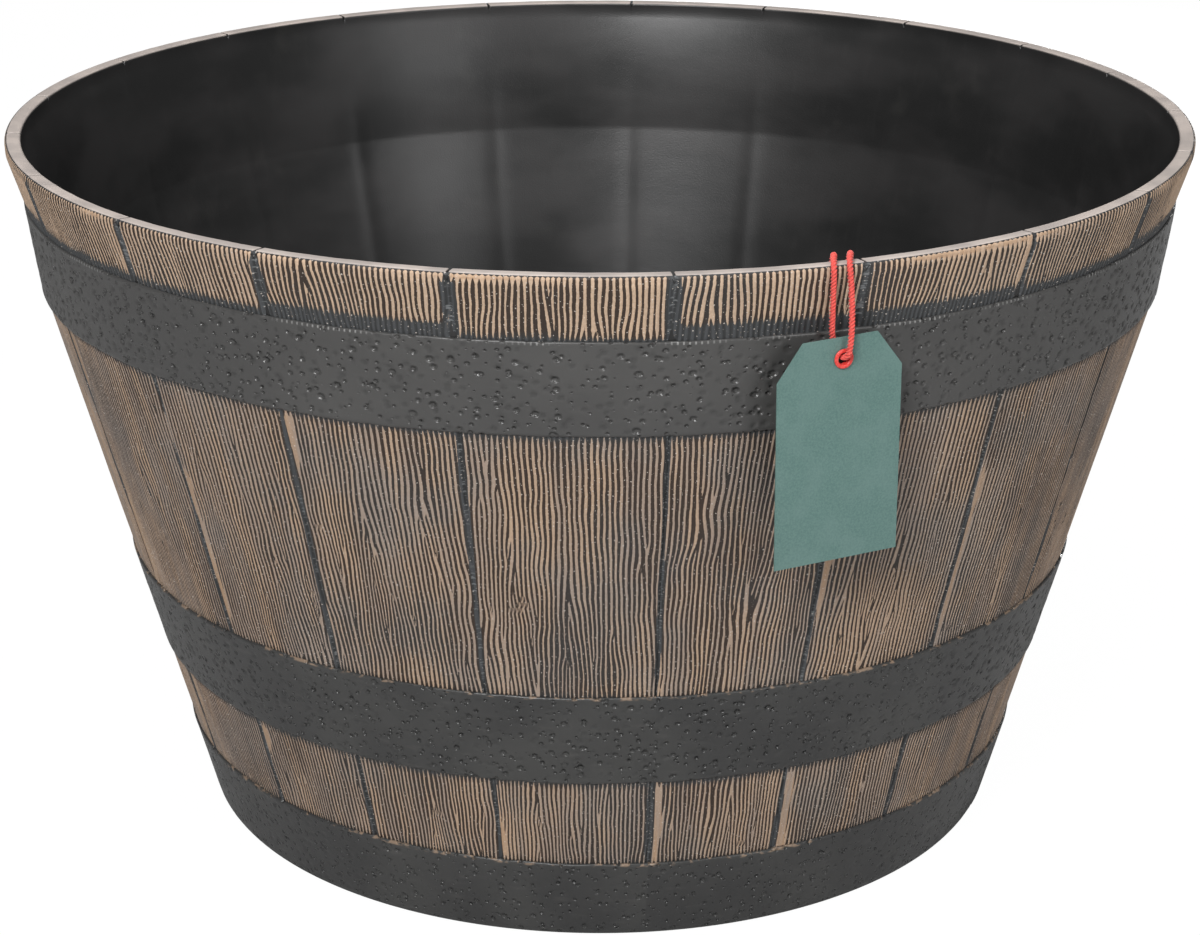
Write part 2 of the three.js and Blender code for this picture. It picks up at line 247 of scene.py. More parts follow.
def spun(name, section, steps, start=0.0, sweep=360.0, closed=True):
    """A section of (radius, height) in millimetres, drawn by extrusion and spun about the upright axis."""
    nothing_selected()
    points = [around_tub(start, radius, height) for radius, height in section]
    bpy.ops.mesh.primitive_plane_add(size=MM, location=(0, 0, 0))
    piece = bpy.context.object
    piece.name = piece.data.name = name
    bpy.ops.object.mode_set(mode="EDIT")
    bpy.ops.mesh.select_mode(type="VERT")
    bpy.ops.mesh.select_all(action="SELECT")
    bpy.ops.mesh.merge(type="CENTER")
    bpy.ops.transform.translate(value=tuple(points[0]))
    for a, b in zip(points, points[1:]):
        bpy.ops.mesh.extrude_region_move(TRANSFORM_OT_translate={"value": tuple(b - a)})
    if closed:
        bpy.ops.object.mode_set(mode="OBJECT")
        flags = np.zeros(len(points), bool)
        flags[[0, -1]] = True
        piece.data.vertices.foreach_set("select", flags)
        bpy.ops.object.mode_set(mode="EDIT")
        bpy.ops.mesh.edge_face_add()
    applied(
        piece, "SCREW", axis="Z", angle=math.radians(sweep), steps=steps, render_steps=steps,
        use_merge_vertices=True, merge_threshold=0.004 * MM,
    )
    bpy.ops.object.mode_set(mode="EDIT")
    if sweep < 360 and closed:
        bpy.ops.mesh.select_all(action="DESELECT")
        bpy.ops.mesh.select_non_manifold()
        bpy.ops.mesh.edge_face_add()
    bpy.ops.mesh.select_all(action="SELECT")
    bpy.ops.mesh.normals_make_consistent(inside=False)
    nothing_selected()
    piece.data.shade_smooth()
    return piece


def shade_flat_above(piece, degrees):
    """Smooth shading, but for edges that bend by more than this."""
    only_selected(piece)
    bpy.ops.object.shade_smooth_by_angle(angle=math.radians(degrees))


def put_places(piece, azimuth, radius, height):
    """Moves the piece's vertices to these places, in degrees and millimetres."""
    turn = np.radians(azimuth)
    places = np.stack([radius * np.sin(turn), -radius * np.cos(turn), height], axis=1)
    piece.data.vertices.foreach_set("co", (places * MM).astype(np.float32).ravel())
    piece.data.update()


def add_number(piece, name, values):
    """A number for each vertex, which materials read by its name."""
    attribute = piece.data.attributes.new(name, "FLOAT", "POINT")
    attribute.data.foreach_set("value", values.astype(np.float32))


# %% [markdown]
# ## The tub's shape
#
# The staves' outer face is a stack of three tapers: a flared lip, a steeper band and the long body.
# The 21 staves have three widths, which repeat seven times, as the mould's pattern does.

# %% The tapers and the joints
WALL = 6.8
RIM_RADIUS = 250.4
RIM_EDGE = 298.5  # the height of the centres of the rim's roundings
LIP_TOP, LIP_FOOT, BAND_FOOT = 296, 273, 238
TAPER_HEIGHTS = [0, BAND_FOOT, LIP_FOOT, LIP_TOP, 300]
TAPER_RADII = [176, 238.7, 243.3, RIM_RADIUS, RIM_RADIUS]
STAVES = 21
STAVE_WIDTHS = np.tile([16.06, 17.2, 18.2], STAVES // 3)
STAVE_WIDTHS = STAVE_WIDTHS * 360 / STAVE_WIDTHS.sum()
JOINTS = 5.9 + np.concatenate([[0], np.cumsum(STAVE_WIDTHS)])
HOOPS = {"bottom_hoop": (0, 37.5), "middle_hoop": (78.4, 120.6), "top_hoop": (236.8, 274.2)}


def stave_radius(height):
    return np.interp(height, TAPER_HEIGHTS, TAPER_RADII)


def places_of(piece):
    """Azimuth, from the first joint's round to 360 degrees beyond it, radius and height of each vertex."""
    flat = np.empty(len(piece.data.vertices) * 3, np.float32)
    piece.data.vertices.foreach_get("co", flat)
    x, y, height = (flat.reshape(-1, 3).astype(float) / MM).T
    azimuth = (np.degrees(np.arctan2(x, -y)) - JOINTS[0] + 0.002) % 360 + JOINTS[0] - 0.002
    return azimuth, np.hypot(x, y), height


def from_joint(azimuth):
    """Signed angle from the nearest joint."""
    return azimuth - JOINTS[np.abs(azimuth[:, None] - JOINTS[None, :]).argmin(axis=1)]


def stave_of(azimuth):
    """The number of the stave at each azimuth."""
    return np.clip(np.searchsorted(JOINTS, azimuth + 1e-3) - 1, 0, STAVES - 1)


print("joints at", np.round(JOINTS[:-1], 1))

# %% Soft noise that closes round the tub
def soft_noise(seed, azimuth, height, degrees, tall):
    """Smooth noise from -1 to 1 with cells of this many degrees by this many millimetres."""
    columns = max(3, round(360 / degrees))
    x = (azimuth - JOINTS[0]) / 360 * columns
    y = height / tall + 3
    lattice = np.random.default_rng(seed).uniform(-1, 1, (columns, int(y.max()) + 4))
    i, j = np.floor(x).astype(int), np.floor(y).astype(int)
    u, v = x - i, y - j
    u, v = u * u * (3 - 2 * u), v * v * (3 - 2 * v)
    a, b = lattice[i % columns, j], lattice[(i + 1) % columns, j]
    c, d = lattice[i % columns, j + 1], lattice[(i + 1) % columns, j + 1]
    return (a * (1 - u) + b * u) * (1 - v) + (c * (1 - u) + d * u) * v


def fade(value, low, high):
    """0 below low, 1 above high and smooth between. low may be the greater."""
    t = np.clip((value - low) / (high - low), 0, 1)
    return t * t * (3 - 2 * t)


# %% [markdown]
# ## Body of the tub: rim, inside, floor and underside
#
# This solid is all that the staves and the hoops don't cover. Its section goes from the middle of
# the underside, out to the foot ring, up behind the staves, over the rounded rim, down the inside
# and across the floor. Spinning gives even columns, but the rim's notches are under 2 mm wide. So
# the columns are drawn together beside each joint, and then the notches are pressed.

# %% Spin the body
FLOOR_TOP, FLOOR_LIFT = 13, 8
BEHIND = 3.0
COLUMNS_IN_STAVE = 34


def arc(centre_radius, centre_height, radius, first, last, count):
    """Points of a rounded edge. Angles in degrees, from outwards towards up."""
    angles = np.radians(np.linspace(first, last, count))
    return [(centre_radius + radius * math.cos(a), centre_height + radius * math.sin(a)) for a in angles]


def inner_wall(top, foot, count):
    return [(stave_radius(z) - WALL, z) for z in np.linspace(top, foot, count)]


def inner_lip(count):
    """Inside, the lip runs into the steeper band in one soft curve, within 1.2 mm of the two tapers."""
    top, bend, foot = [np.array([stave_radius(z) - WALL, z]) for z in (LIP_TOP, LIP_FOOT, BAND_FOOT + 3)]
    t = np.linspace(0, 1, count)[:, None]
    return [tuple(place) for place in (1 - t) ** 2 * top + 2 * t * (1 - t) * bend + t**2 * foot]


fillet_radius = stave_radius(FLOOR_TOP + 9) - WALL
underside = [
    (0, 0), (18.5, 0), (20, 1), (20, FLOOR_LIFT), (90, FLOOR_LIFT), (165.8, FLOOR_LIFT), (165.8, 1.2),
    (166.8, 0), (172.6, 0), (173.2, 1.2),
]
behind_staves = [
    (stave_radius(40) - BEHIND, 40), (stave_radius(150) - BEHIND, 150),
    (stave_radius(BAND_FOOT) - BEHIND, BAND_FOOT), (RIM_RADIUS - BEHIND - 0.6, 294),
]
rim = [
    (RIM_RADIUS - BEHIND, 298), (RIM_RADIUS - 0.6, 298.1),
    *arc(RIM_RADIUS - 1.5, RIM_EDGE, 1.3, -8, 52, 4), *arc(RIM_RADIUS - 1.5, RIM_EDGE, 1.5, 74, 90, 2),
    (RIM_RADIUS - 2.5, 300.02), (RIM_RADIUS - WALL / 2, 300), (RIM_RADIUS - WALL + 2.5, 299.9),
    *arc(RIM_RADIUS - WALL + 1.4, RIM_EDGE, 1.4, 90, 180, 6),
]
inner_face = [
    *inner_lip(14), *inner_wall(239, 236.5, 3), *inner_wall(226, 26, 12),
    *arc(fillet_radius - 9, FLOOR_TOP + 9, 9, 0, -90, 8), *[(r, FLOOR_TOP) for r in (150, 120, 95, 40, 0)],
]
body_section = underside + behind_staves + rim + inner_face
tub_body = spun("tub_body", body_section, steps=STAVES * COLUMNS_IN_STAVE, start=JOINTS[0], closed=False)
print("body columns:", STAVES * COLUMNS_IN_STAVE, "section points:", len(body_section))

# %% Gather the columns at the joints, then press the notches and the creases
NEAR_JOINT = [0, 0.3, 0.62, 1.0, 1.6, 2.6, 4.2]  # millimetres at the rim, on each side of a joint


def gathered(azimuth):
    """The azimuth each even column moves to."""
    fraction = (azimuth - JOINTS[0]) / 360 * STAVES
    number = np.clip(np.floor(fraction + 1e-4).astype(int), 0, STAVES - 1)
    column = (fraction - number) * COLUMNS_IN_STAVE
    near = np.degrees(np.array(NEAR_JOINT) / RIM_RADIUS)
    last = len(near) - 1
    stops = [*range(last + 1), *range(COLUMNS_IN_STAVE - last, COLUMNS_IN_STAVE + 1)]
    moved = np.empty_like(azimuth)
    for k in range(STAVES):
        mine = number == k
        angles = [*near, *(STAVE_WIDTHS[k] - near[::-1])]
        moved[mine] = JOINTS[k] + np.interp(column[mine], stops, angles)
    return moved


azimuth, radius, height = places_of(tub_body)
azimuth = gathered(azimuth)
beside = np.abs(np.radians(from_joint(azimuth))) * radius
on_rim = (height > 297.5) & (radius > RIM_RADIUS - WALL - 0.5)
notch = np.clip(1 - beside / 0.62, 0, 1) ** 0.6 * on_rim
inside = (radius < stave_radius(height) - WALL + 1.8) & (height > FLOOR_TOP + 1) & (height < 297)
ridge = 0.3 * fade(beside, 7.0, 0.0) * fade(height, LIP_FOOT, BAND_FOOT) * inside
wave = 0.12 * soft_noise(3, azimuth, height, 9, 60) * inside
rim_wave = 0.07 * soft_noise(4, azimuth, height, 1.4, 400) * on_rim
radius = radius - ridge + wave
radius = np.where(height > 297.5, radius - 0.5 * notch * fade(radius, RIM_RADIUS - 3, RIM_RADIUS), radius)
put_places(tub_body, azimuth, np.where(radius < 1, 0, radius), height - 1.6 * notch + rim_wave)
add_number(tub_body, "notch", notch)
print("notches:", int((notch > 0.9).sum()), "vertices at their bottom")

# %% Ribs, bosses and drain holes of the underside
DRAIN_AZIMUTHS = [45, 135, 225, 315]
DRAIN_CIRCLE, DRAIN_RADIUS = 110, 8


def at_origin(piece):
    """Puts the piece's place into its mesh."""
    only_selected(piece)
    bpy.ops.object.transform_apply(location=True, rotation=True, scale=True)


def drain_cylinder(azimuth, radius, foot, top):
    nothing_selected()
    place = tuple(around_tub(azimuth, DRAIN_CIRCLE, (foot + top) / 2))
    depth = (top - foot) * MM
    bpy.ops.mesh.primitive_cylinder_add(vertices=48, radius=radius * MM, depth=depth, location=place)
    cylinder = bpy.context.object
    at_origin(cylinder)
    return cylinder


def under_rib(azimuth):
    nothing_selected()
    bpy.ops.mesh.primitive_cube_add(size=1, location=tuple(around_tub(azimuth, 88.5, 6.75)))
    rib = bpy.context.object
    rib.scale = (3 * MM, 157 * MM, 7.5 * MM)
    rib.rotation_euler = (0, 0, math.radians(azimuth))
    at_origin(rib)
    applied(rib, "BEVEL", width=0.5 * MM, segments=2, limit_method="ANGLE")
    return rib


def change_body(operation, tool):
    """Joins a solid to the tub's body, or cuts it out."""
    applied(tub_body, "BOOLEAN", operation=operation, solver="MANIFOLD", object=tool)
    bpy.data.objects.remove(tool)


for rib_azimuth in np.arange(8) * 45 + 22.5:
    change_body("UNION", under_rib(rib_azimuth))
for drain_azimuth in DRAIN_AZIMUTHS:
    boss = drain_cylinder(drain_azimuth, DRAIN_RADIUS + 5, FLOOR_LIFT - 4, FLOOR_LIFT + 2.5)
    applied(boss, "BEVEL", width=0.6 * MM, segments=2, limit_method="ANGLE")
    change_body("UNION", boss)
    change_body("DIFFERENCE", drain_cylinder(drain_azimuth, DRAIN_RADIUS, 0, 18))
shade_flat_above(tub_body, 38)
print("body triangles:", sum(len(p.vertices) - 2 for p in tub_body.data.polygons))


# %% [markdown]
# ## Staves: the grain as a field of lines
#
# The real grain is some 34 ridges to a stave, 2.2 mm apart, which wander a little, fork, and fold
# round each other in narrow arches. A texture of waves has no forks, and a noise texture has no
# lines. So the grain is a phase: a number that goes up by one from ridge to ridge. A fork is a point
# round which the phase gains one. The cosine of the phase presses real grooves into the mesh, and
# the phase is kept as a UV map, so that the paint follows the same ridges.

# %% Forks and arches of each stave
LINES_PER_DEGREE = 34 / (360 / STAVES)


def forks_of(rng, lines, foot, top):
    """Forks of one stave: across in lines, height in mm, +1 or -1 line below it, and how drawn-out it is."""
    tall = top - foot
    forks = []
    for _ in range(max(1, round(tall / 75 + rng.uniform(-0.3, 0.6)))):
        across = rng.uniform(0.2, 0.8) * lines
        summit = foot + rng.uniform(0.25, 0.75) * tall
        partner = across + rng.choice([-1, 1]) * rng.uniform(6, 10)
        for step in range(rng.integers(2, 5)):
            height = summit - step * rng.uniform(8, 15)
            forks.append((across + rng.uniform(-0.5, 0.5), height, 1, rng.uniform(5, 9)))
            forks.append((
                partner + rng.uniform(-1.2, 1.2), height - rng.uniform(-4, 22), -1, rng.uniform(8, 14),
            ))
    for _ in range(round(tall / 16)):
        across, height = rng.uniform(1, lines - 1), foot + rng.uniform(0, 0.92) * tall
        sign = rng.choice([-1, 1])
        forks.append((across, height, sign, rng.uniform(4, 9)))
        forks.append((
            across + rng.uniform(-2.5, 2.5), height - rng.uniform(10, 42), -sign, rng.uniform(4, 9),
        ))
    return forks


def grain_phase(azimuth, height, foot, top, seed):
    """The grain's phase, counted in ridges, at each place on the staves between foot and top."""
    stave = stave_of(azimuth)
    lively = 0.45 + 0.55 * fade(height, top, foot + 0.35 * (top - foot))
    phase = (azimuth - JOINTS[stave]) * LINES_PER_DEGREE
    phase = phase + lively * 0.62 * soft_noise(seed, azimuth, height, 4.6, 34)
    phase = phase + lively * 0.34 * soft_noise(seed + 1, azimuth, height, 1.9, 12)
    phase = phase + 0.11 * soft_noise(seed + 2, azimuth, height, 1.1, 4.5)
    for k in range(STAVES):
        mine = np.flatnonzero(stave == k)
        if not len(mine):
            continue
        rng = np.random.default_rng(seed * 100 + k)
        lines = STAVE_WIDTHS[k] * LINES_PER_DEGREE
        x = (azimuth[mine] - JOINTS[k]) * LINES_PER_DEGREE
        added = rng.uniform(0, 1) + rng.uniform(-1, 1) * (height[mine] - foot) / 110
        for across, level, sign, drawn in forks_of(rng, lines, foot, top):
            added += sign / (2 * math.pi) * np.arctan2((height[mine] - level) / drawn, x - across)
        phase[mine] += added
    return phase


# %% Where the joints are and how much of the ridges is painted
def joint_press(azimuth, height, radius):
    """How far a place is pressed in by the nearest joint, from 0 to 1, and its signed distance in mm."""
    distance = np.radians(from_joint(azimuth)) * radius
    half_width = np.where(height > LIP_FOOT, 1.9, 1.0) * (1 + 0.30 * soft_noise(21, azimuth, height, 8, 30))
    return fade(np.abs(distance), half_width, half_width * 0.35), distance


def flat_edge(azimuth, height, distance):
    """1 on the flat, fully painted ridge at a stave's edge: right of a joint, but left of it on the lip."""
    on_lip = height > LIP_FOOT
    inwards = np.where(on_lip, -distance, distance)
    present = fade(soft_noise(30, azimuth, height, 13, 46), -0.3, 0.2)
    wide = np.where(on_lip, 3.2, 4.4) * present * (1 + 0.4 * soft_noise(29, azimuth, height, 3, 14))
    return present * fade(inwards, 0.5, 1.2) * fade(inwards, wide + 0.9, wide - 0.5)


# How far above the top hoop the lip's paint stops, in mm, from the first stave round the tub. The
# last three and the first two are the front's.
PAINT_STOPS_SHORT = np.array([
    6.5, 5.5, 3.5, 5, 2, 6, 4.5, 3, 6.5, 2.5, 5, 4, 6, 2, 5.5, 3.5, 6, 4, 2.6, 5.6, 1.6,
])


def paint_cover(azimuth, height, radius, foot, top, is_lip):
    """How much of the ridges is painted: 0 is bare resin, 1 is usual and 2 is a flat, painted ridge."""
    _, distance = joint_press(azimuth, height, radius)
    bare_half = np.where(height > LIP_FOOT, 2.3, 1.1) * (1 + 0.5 * soft_noise(22, azimuth, height, 5, 24))
    cover = fade(np.abs(distance), bare_half * 0.75, bare_half * 1.35)
    stave = stave_of(azimuth)
    start = foot + (PAINT_STOPS_SHORT[stave] if is_lip else 0.3)
    frayed = 1 + 0.55 * soft_noise(23, azimuth, height, 1.2, 200)
    frayed = (frayed + 0.4 * soft_noise(24, azimuth, height, 7, 300)) * (3.4 if is_lip else 1.6)
    cover = cover * fade(height, start - 0.4 * frayed, start + 0.6 * frayed)
    if not is_lip:
        cover = cover * (0.25 + 0.75 * fade(height, top - 0.3, top - 2.6))
    across = (azimuth - JOINTS[stave]) / STAVE_WIDTHS[stave]
    patchy = 0.80 + is_lip * 0.26 * (across - 0.45)
    for share, seed, level, degrees, tall in (
        (0.22, 25, height, 5.2, 36), (0.10, 26, height, 1.6, 14), (0.09, 27, height * 0, 9, 100),
    ):
        patchy = patchy + share * soft_noise(seed, azimuth, level, degrees, tall)
    flat = 1.1 * flat_edge(azimuth, height, distance)
    return np.clip(cover * (np.clip(patchy, 0, 1.12) + flat), 0, 2)


# %% Wrap one band of staves round the tub
GRAIN_DEPTH, JOINT_DEPTH = 0.36, 0.95
COLUMNS_ROUND = 3360
MAP_RADIUS = 0.22  # turns an angle into metres in the place map


def whole_numbers(items, key):
    """One whole number of each item, such as a face's count of corners."""
    numbers = np.empty(len(items), np.int32)
    items.foreach_get(key, numbers)
    return numbers


def at_corners(piece, values):
    """The vertices' values, taken to the faces' corners."""
    return values[whole_numbers(piece.data.loops, "vertex_index")]


def unrolled(piece, values, period):
    """Values at face corners, made continuous inside each face where they step by whole periods."""
    totals = whole_numbers(piece.data.polygons, "loop_total")
    first = np.repeat(np.concatenate([[0], np.cumsum(totals)[:-1]]), totals)
    corner = at_corners(piece, values)
    start = corner[first]
    return corner - period * np.round((corner - start) / period)


def add_map(piece, name, u, v):
    layer = piece.data.uv_layers.new(name=name)
    layer.data.foreach_set("uv", np.stack([u, v], axis=1).astype(np.float32).ravel())


def add_bake_map(piece, along, rise, strips):
    """The piece's own flat map for baking: the ring is cut into strips, stacked so that they fill the
    square. along is the share of the length round the tub, and rise the place across the strip."""
    totals = whole_numbers(piece.data.polygons, "loop_total")
    polygon_of = np.repeat(np.arange(len(totals)), totals)
    share = along * strips
    lowest = np.full(len(totals), np.inf)
    np.minimum.at(lowest, polygon_of, share)
    strip = np.clip(np.floor(lowest + 1e-6), 0, strips - 1)[polygon_of]
    add_map(piece, "OFBake", 0.004 + 0.985 * (share - strip), (strip + 0.02 + 0.95 * rise) / strips)


def flat_maps(piece, front, azimuth, height, foot, top, start, sweep, strips):
    """The place map, in metres round and up the tub, and the map for baking, on a spun band."""
    reach = np.radians(unrolled(piece, azimuth, 360) - start)
    up = at_corners(piece, height)
    add_map(piece, "place", reach * MAP_RADIUS, up * MM)
    rise = np.where(at_corners(piece, front), 0.06 + 0.92 * (up - foot + 1.2) / (top - foot + 2.4), 0.02)
    add_bake_map(piece, np.clip(reach, 0, None) / math.radians(sweep), np.clip(rise, 0, 1), strips)


def stave_band(name, foot, top, rows, seed, first=0, last=STAVES, strips=3, is_lip=False):
    """A closed band of staves from the first joint to the last, with grain, joints and paint marks."""
    start, sweep = JOINTS[first], JOINTS[last] - JOINTS[first]
    levels = np.linspace(foot, top, rows)
    levels = np.unique(np.concatenate([levels, [LIP_TOP]])) if is_lip else levels
    section = [(stave_radius(foot) - BEHIND - 0.1, foot)] + [(stave_radius(z), z) for z in levels]
    section += arc(RIM_RADIUS - 1.5, top, 1.5, 15, 62, 4) if is_lip else []
    section += [(stave_radius(top) - BEHIND - 0.1, top)]
    steps = round(sweep / 360 * COLUMNS_ROUND)
    band = spun(name, section, steps=steps, start=start, sweep=sweep)
    azimuth, radius, height = places_of(band)
    if last == STAVES and first > 0:
        azimuth = np.where(azimuth < start - 1, azimuth + 360, azimuth)
    front = radius > stave_radius(height) - 1
    phase = grain_phase(azimuth, height, foot, top, seed)
    press, distance = joint_press(azimuth, height, radius)
    groove = (0.5 - 0.5 * np.cos(2 * math.pi * phase)) ** 1.2
    groove = groove * (1 - 0.8 * flat_edge(azimuth, height, distance))
    calm = fade(height, top + 0.5, top - 1.6) if is_lip else 1
    sunk = GRAIN_DEPTH * groove * calm + JOINT_DEPTH * press * (0.25 + 0.75 * calm)
    lumpy = 0.10 * soft_noise(seed + 7, azimuth, height, 3.5, 30) - 0.1
    put_places(band, azimuth, np.where(front, radius - sunk + lumpy * calm, radius), height)
    painted_foot, painted_top = (HOOPS["top_hoop"][1], RIM_EDGE) if is_lip else (foot + 2, top - 2)
    cover = paint_cover(azimuth, height, radius, painted_foot, painted_top, is_lip) * front
    if is_lip:
        joining = 1.0 + 0.75 * soft_noise(28, azimuth, height * 0, 5.5, 100)
        cover = np.maximum(cover, joining * fade(height, 297.4, 298.3) * (1 - press))
        cover = cover * fade(height, 299.75, 299.3)
    add_number(band, "cover", cover)
    add_number(band, "joint", press)
    add_map(band, "grain", unrolled(band, phase, 1), at_corners(band, height) * MM)
    flat_maps(band, front, azimuth, height, foot, top, start, sweep, strips)
    print(f"{name}: {len(band.data.polygons)} faces, {steps} columns")
    return band


lip_staves = stave_band("lip_staves", 271.5, RIM_EDGE, 12, seed=11, strips=8, is_lip=True)
body_staves = [
    stave_band(f"body_staves_{k + 1}", 118.5, 239, 46, seed=31, first=7 * k, last=7 * k + 7, strips=2)
    for k in range(3)
]
foot_staves = stave_band("foot_staves", 35.5, 80.5, 17, seed=51, strips=5)
staves = [lip_staves, *body_staves, foot_staves]


# %% [markdown]
# ## Hoops: raised bands with hammer marks
#
# The hoops are part of the moulding: a face raised one millimetre, with a soft edge, covered with
# shallow dents 2 to 4 mm wide, each of which catches the light as a small crescent. They lie apart,
# so they are stamped one by one into a height map in memory, which the spun band is pressed by.

# %% Stamp the dents and spin the hoops
def dent_field(seed, foot, top, mean_radius, spacing, depth):
    """A height map of dents, sampled later: its cells are 0.3 mm, and it closes round the tub."""
    rng = np.random.default_rng(seed)
    cell = 0.3
    columns, rows = round(2 * math.pi * mean_radius / cell), int((top - foot) / cell) + 3
    field = np.zeros((rows, columns))
    count = round(columns * cell * (top - foot) / spacing**2)
    grid = max(1, round(math.sqrt(count * (top - foot) / (columns * cell))))
    per_row = round(count / grid)
    for row in range(grid):
        for k in range(per_row):
            if rng.uniform() < 0.12:
                continue
            x = (k + rng.uniform(-0.2, 1.2)) / per_row * columns
            y = (row + rng.uniform(0.0, 1.0)) / grid * (rows - 10) + 5
            wide, tall = rng.uniform(1.1, 2.1) / cell, rng.uniform(0.8, 1.35) / cell
            reach = int(wide * 1.5) + 1
            i = np.arange(int(y) - reach, int(y) + reach + 1)
            j = np.arange(int(x) - reach, int(x) + reach + 1)
            i = i[(i >= 0) & (i < rows)]
            d = np.hypot((j[None, :] - x) / wide, (i[:, None] - y) / tall)
            dent = -np.clip(1 - d**2, 0, 1) ** 1.1 + 0.14 * np.clip(1 - ((d - 1.15) / 0.3) ** 2, 0, 1)
            cells = np.ix_(i, j % columns)
            field[cells] = np.where(np.abs(dent) > np.abs(field[cells]), dent, field[cells])
    return field * depth


def sampled(field, azimuth, height, foot, top):
    rows, columns = field.shape
    x = (azimuth - JOINTS[0]) / 360 * columns
    y = np.clip((height - foot) / (top - foot), 0, 1) * (rows - 3)
    i, j = np.floor(y).astype(int), np.floor(x).astype(int)
    u, v = y - i, x - j
    a, b = field[i, j % columns], field[i, (j + 1) % columns]
    c, d = field[i + 1, j % columns], field[i + 1, (j + 1) % columns]
    return (a * (1 - v) + b * v) * (1 - u) + (c * (1 - v) + d * v) * u


def hoop_band(name, rows, steps, seed, strips, depth, spacing):
    """A closed hoop with soft edges and stamped dents."""
    foot, top = HOOPS[name]
    edge = [(-2.7, 1.2), (-1.2, 0.25), (0.2, 0.1), (0.62, 0.45), (0.9, 1.0), (1.0, 1.7)]
    levels = list(np.linspace(foot + 2.6, top - 2.6, rows))
    if foot == 0:
        bends = np.linspace(0.4, 1.5, 4)
        lower = [(171.0, 1.4), (172.4, 0.1), (174.6, 0)]
        lower += [(177 - 2.3 + 2.3 * math.sin(a) + 0.04 * a, 2.3 - 2.3 * math.cos(a)) for a in bends]
    else:
        lower = [(stave_radius(foot + dz) + dr, foot + dz) for dr, dz in edge]
    face = [(stave_radius(z) + 1.0, z) for z in levels]
    upper = [(stave_radius(top - dz) + dr, top - dz) for dr, dz in reversed(edge)]
    band = spun(name, lower + face + upper, steps=steps, start=JOINTS[0])
    azimuth, radius, height = places_of(band)
    front = radius > stave_radius(height) - 1
    raised = front & (radius > stave_radius(height) + 0.5)
    field = dent_field(seed, foot, top, stave_radius((foot + top) / 2), spacing, depth)
    dents = sampled(field, azimuth, height, foot, top)
    calm = fade(height, foot + 0.5, foot + 2.2) * fade(height, top - 0.5, top - 2.2)
    uneven = 0.16 * soft_noise(seed + 1, azimuth, height, 7, 22)
    uneven = uneven + 0.05 * soft_noise(seed + 2, azimuth, height, 1.6, 5)
    moved = np.where(raised, radius + (dents + uneven - 0.15) * calm, radius)
    at_joint = fade(np.abs(np.radians(from_joint(azimuth)) * radius), 2.4, 0.5)
    at_edge = 1 - fade(height, foot, foot + 3.0) * fade(height, top, top - 3.0)
    moved = np.where(front & (height > 4), moved - 0.55 * at_joint * at_edge, moved)
    edge_wave = 0.25 * soft_noise(seed + 3, azimuth, height * 0, 2.2, 100) * at_edge * (height > 4)
    put_places(band, azimuth, moved, height + edge_wave * front)
    add_number(band, "dent", np.where(raised, dents, 0))
    flat_maps(band, front, azimuth, height, foot, top, JOINTS[0], 360, strips)
    print(f"{name}: {len(band.data.polygons)} faces")
    return band


top_hoop = hoop_band("top_hoop", rows=38, steps=1700, seed=71, strips=6, depth=0.62, spacing=5.7)
middle_hoop = hoop_band("middle_hoop", rows=44, steps=1440, seed=81, strips=5, depth=0.52, spacing=5.9)
bottom_hoop = hoop_band("bottom_hoop", rows=36, steps=1240, seed=91, strips=5, depth=0.26, spacing=6.6)
hoops = [top_hoop, middle_hoop, bottom_hoop]

for piece in [tub_body, *staves, *hoops]:
    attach(piece, "planter")
    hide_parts("pot_shell")


# %% [markdown]
# ## Eyelet and drain plugs
#
# Both are turned pieces. The eyelet is a plastic ring with a rolled flange on each face of the
# card. A plug has a soft flange, a stem with a bead that holds it in the hole, and a waisted grip.
# One plug is modelled, and the other three are copies with their own mesh.

# %% Spin the eyelet and tip it with the card
def eyelet_section():
    """Hole radius 2.2, flange radius 3.75, flanges from 0.6 to 1.3 mm on each side of the card's middle."""
    quarter = math.pi / 2
    rolled = [(2.75 - 0.55 * math.cos(a), 0.72 + 0.58 * math.sin(a)) for a in np.linspace(0, quarter, 6)]
    outer = [(3.28 + 0.47 * math.sin(a), 0.78 + 0.52 * math.cos(a)) for a in np.linspace(0.15, quarter, 6)]
    half = [*rolled, *outer, (3.72, 0.62), (2.8, 0.6)]
    return half + [(r, -z) for r, z in reversed(half)]


EYELET_PLACE = beside_tag(1.2, 252, 266.3)
eyelet = spun("eyelet", eyelet_section(), steps=72)
# The last turn acts first. The CAD turns the card about Y, then X, then Z.
tilts = [(TAG_AZIMUTH, "Z"), (3.6, "Z"), (3, "X"), (-2, "Y"), (90, "X")]
eyelet_turn = Matrix.Identity(3)
for degrees, axis in tilts:
    eyelet_turn = eyelet_turn @ Matrix.Rotation(math.radians(degrees), 3, axis)
eyelet.data.transform(Matrix.Translation(EYELET_PLACE) @ eyelet_turn.to_4x4())
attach(eyelet, "hang_tag")
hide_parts("tag_eyelet")
low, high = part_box("tag_eyelet")
print("eyelet middle, CAD:", (low + high) / 2, "here:", EYELET_PLACE)

# %% Spin a plug and copy it
# Heights are from the floor's top. The flange lies on the floor, and the stem fills the hole.
PLUG_SECTION = [
    (0, -10.6), (5.6, -10.6), (6.8, -9.9), (7.5, -9.1), (7.68, -8.6), (7.4, -7.9), (7.35, -1.0),
    (7.65, -0.4), (7.7, 0.3), (11.6, 0.3), (12.2, 0.45), (12.5, 0.95), (12.35, 1.5), (11.7, 1.95),
    (8, 2.35), (5.2, 2.5), (4.1, 2.8), (3.5, 3.6), (3.25, 5.4), (3.35, 7.4), (3.9, 8.6), (4.0, 9.4),
    (3.7, 10.1), (3.0, 10.45), (0, 10.5),
]

